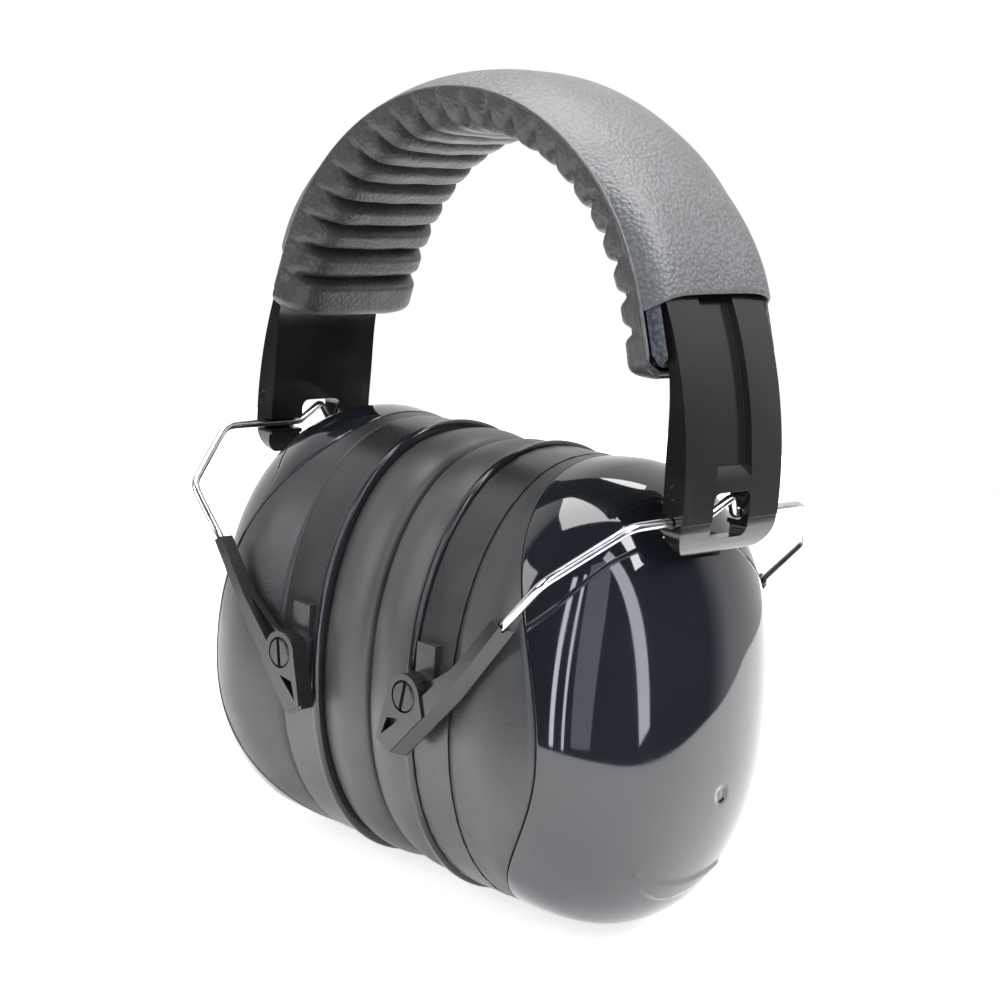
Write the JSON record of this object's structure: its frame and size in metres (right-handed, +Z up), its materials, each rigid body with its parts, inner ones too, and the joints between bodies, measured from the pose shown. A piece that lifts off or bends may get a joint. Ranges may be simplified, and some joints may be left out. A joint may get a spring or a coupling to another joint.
{
  "type": "earmuff hearing protector",
  "caption": "Over-the-head earmuff: padded arched headband, two sliding arms, wire forks and two oval domed cups with soft ear cushions.",
  "frame": {"origin": "under the middle of the part, at the height of the cups' lowest point, midway between the two cups", "axes": "+X from the middle towards one cup (the pieces named right), -Y the front, +Z up towards the crown of the headband"},
  "size_m": [0.147, 0.0972, 0.1989],
  "materials": {
    "cover_vinyl": "fine pebble grain",
    "pad_vinyl": "soft, welded into ribs",
    "cushion_vinyl": "smooth, soft",
    "foam": "open-cell foam",
    "backing_cloth": "pressed fibre sheet",
    "core_plastic": "moulded",
    "arm_plastic": "semi-gloss moulded",
    "steel_wire": "bright drawn wire",
    "yoke_plastic": "semi-gloss moulded",
    "pin_plastic": "semi-gloss moulded",
    "dome_gloss": "high gloss moulded",
    "body_grain": "fine moulded grain",
    "ring_satin": "satin moulded",
    "plate_gloss": "gloss moulded"
  },
  "bodies": {
    "headband": {"band_core": "core_plastic", "band_cover": "cover_vinyl", "cover_foam": "foam", "head_pad": "pad_vinyl", "right_pad_backing": "backing_cloth", "left_pad_backing": "backing_cloth"},
    "right_slider": {"right_slider_arm": "arm_plastic"},
    "left_slider": {"left_slider_arm": "arm_plastic"},
    "right_fork": {"right_fork_wire": "steel_wire", "right_front_yoke_arm": "yoke_plastic", "right_rear_yoke_arm": "yoke_plastic"},
    "left_fork": {"left_fork_wire": "steel_wire", "left_front_yoke_arm": "yoke_plastic", "left_rear_yoke_arm": "yoke_plastic"},
    "right_cup": {"right_front_pivot_pin": "pin_plastic", "right_rear_pivot_pin": "pin_plastic", "right_cup_dome": "dome_gloss", "right_cup_body": "body_grain", "right_cup_ring": "ring_satin", "right_cushion_plate": "plate_gloss", "right_ear_cushion": "cushion_vinyl", "right_cushion_foam": "foam", "right_cup_liner": "foam"},
    "left_cup": {"left_front_pivot_pin": "pin_plastic", "left_rear_pivot_pin": "pin_plastic", "left_cup_dome": "dome_gloss", "left_cup_body": "body_grain", "left_cup_ring": "ring_satin", "left_cushion_plate": "plate_gloss", "left_ear_cushion": "cushion_vinyl", "left_cushion_foam": "foam", "left_cup_liner": "foam"}
  },
  "joints": [
    {"name": "right_arm_slide", "type": "hinge", "parent": "headband", "child": "right_slider", "pos_m": [-0.0268, 0, 0.108], "axis": [0, -1, 0], "range_deg": [0, 9]},
    {"name": "left_arm_slide", "type": "hinge", "parent": "headband", "child": "left_slider", "pos_m": [0.0268, 0, 0.108], "axis": [0, 1, 0], "range_deg": [0, 9]},
    {"name": "right_fork_swing", "type": "hinge", "parent": "right_slider", "child": "right_fork", "pos_m": [0.0696, 0, 0.1035], "axis": [0, -1, 0], "range_deg": [0, 12]},
    {"name": "left_fork_swing", "type": "hinge", "parent": "left_slider", "child": "left_fork", "pos_m": [-0.0696, 0, 0.1035], "axis": [0, 1, 0], "range_deg": [0, 12]},
    {"name": "right_cup_tilt", "type": "hinge", "parent": "right_fork", "child": "right_cup", "pos_m": [0.0219, 0, 0.057], "axis": [0, -1, 0], "range_deg": [-4, 8], "deforming": ["right_ear_cushion", "right_cushion_foam", "left_ear_cushion", "left_cushion_foam"]},
    {"name": "left_cup_tilt", "type": "hinge", "parent": "left_fork", "child": "left_cup", "pos_m": [-0.0219, 0, 0.057], "axis": [0, 1, 0], "range_deg": [-4, 8]}
  ]
}
